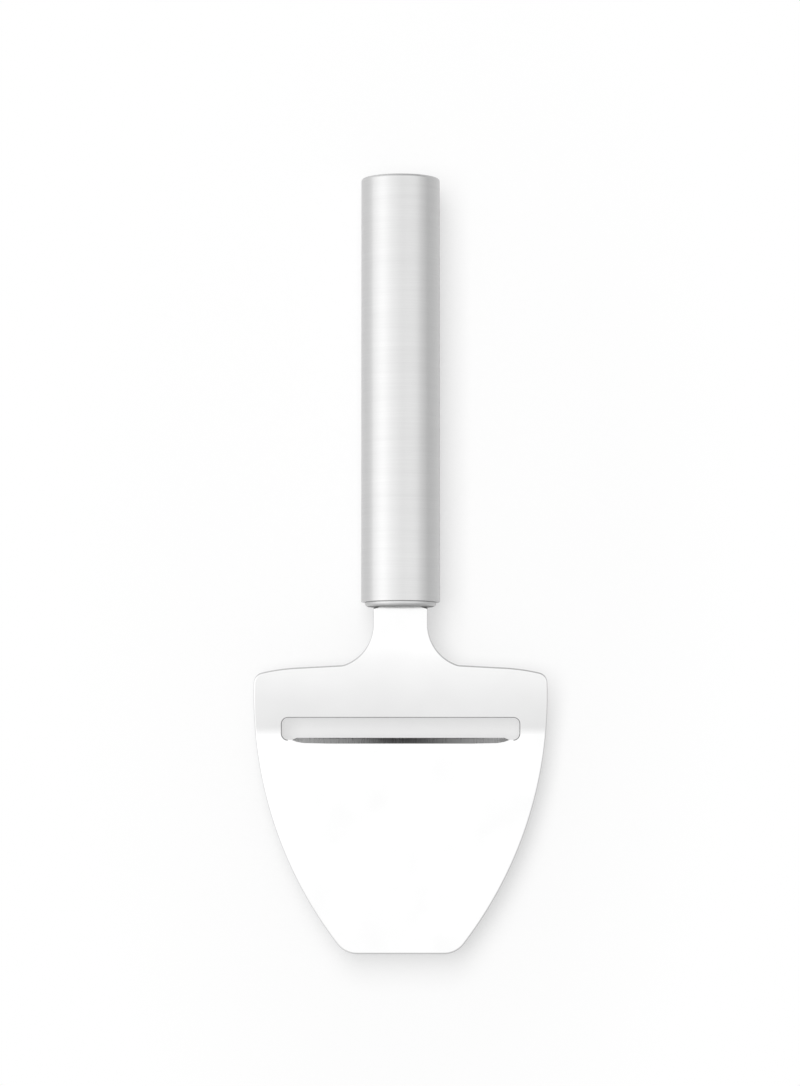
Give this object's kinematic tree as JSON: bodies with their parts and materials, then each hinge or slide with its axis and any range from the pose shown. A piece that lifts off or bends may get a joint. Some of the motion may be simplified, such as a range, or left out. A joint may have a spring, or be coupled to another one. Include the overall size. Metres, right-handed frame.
{
  "type": "cheese slicer",
  "caption": "Cheese slicer: a flat pressed steel blade with a cutting slot and a lowered lip, on a straight round tube handle.",
  "frame": {"origin": "on the handle's axis, in the middle of the tube's straight wall, where a hand or a holder takes it", "axes": "+Y along the handle from the blade's tip towards the handle's rear end, +Z square to the blade's plate, away from its sole"},
  "size_m": [0.082, 0.2168, 0.022],
  "materials": {
    "polished_steel": "mirror polished stainless sheet",
    "brushed_steel_tube": "stainless tube, brushed round its girth",
    "satin_steel": "turned stainless, fine satin",
    "seal_rubber": "moulded rubber ring",
    "core_plastic": "moulded nylon",
    "pin_steel": "ground steel"
  },
  "bodies": {
    "root": {"blade": "polished_steel", "handle_tube": "brushed_steel_tube", "end_cap": "satin_steel", "front_collar": "satin_steel", "collar_seal": "seal_rubber", "tang_core_upper": "core_plastic", "tang_core_lower": "core_plastic", "tang_pin": "pin_steel"}
  },
  "joints": []
}
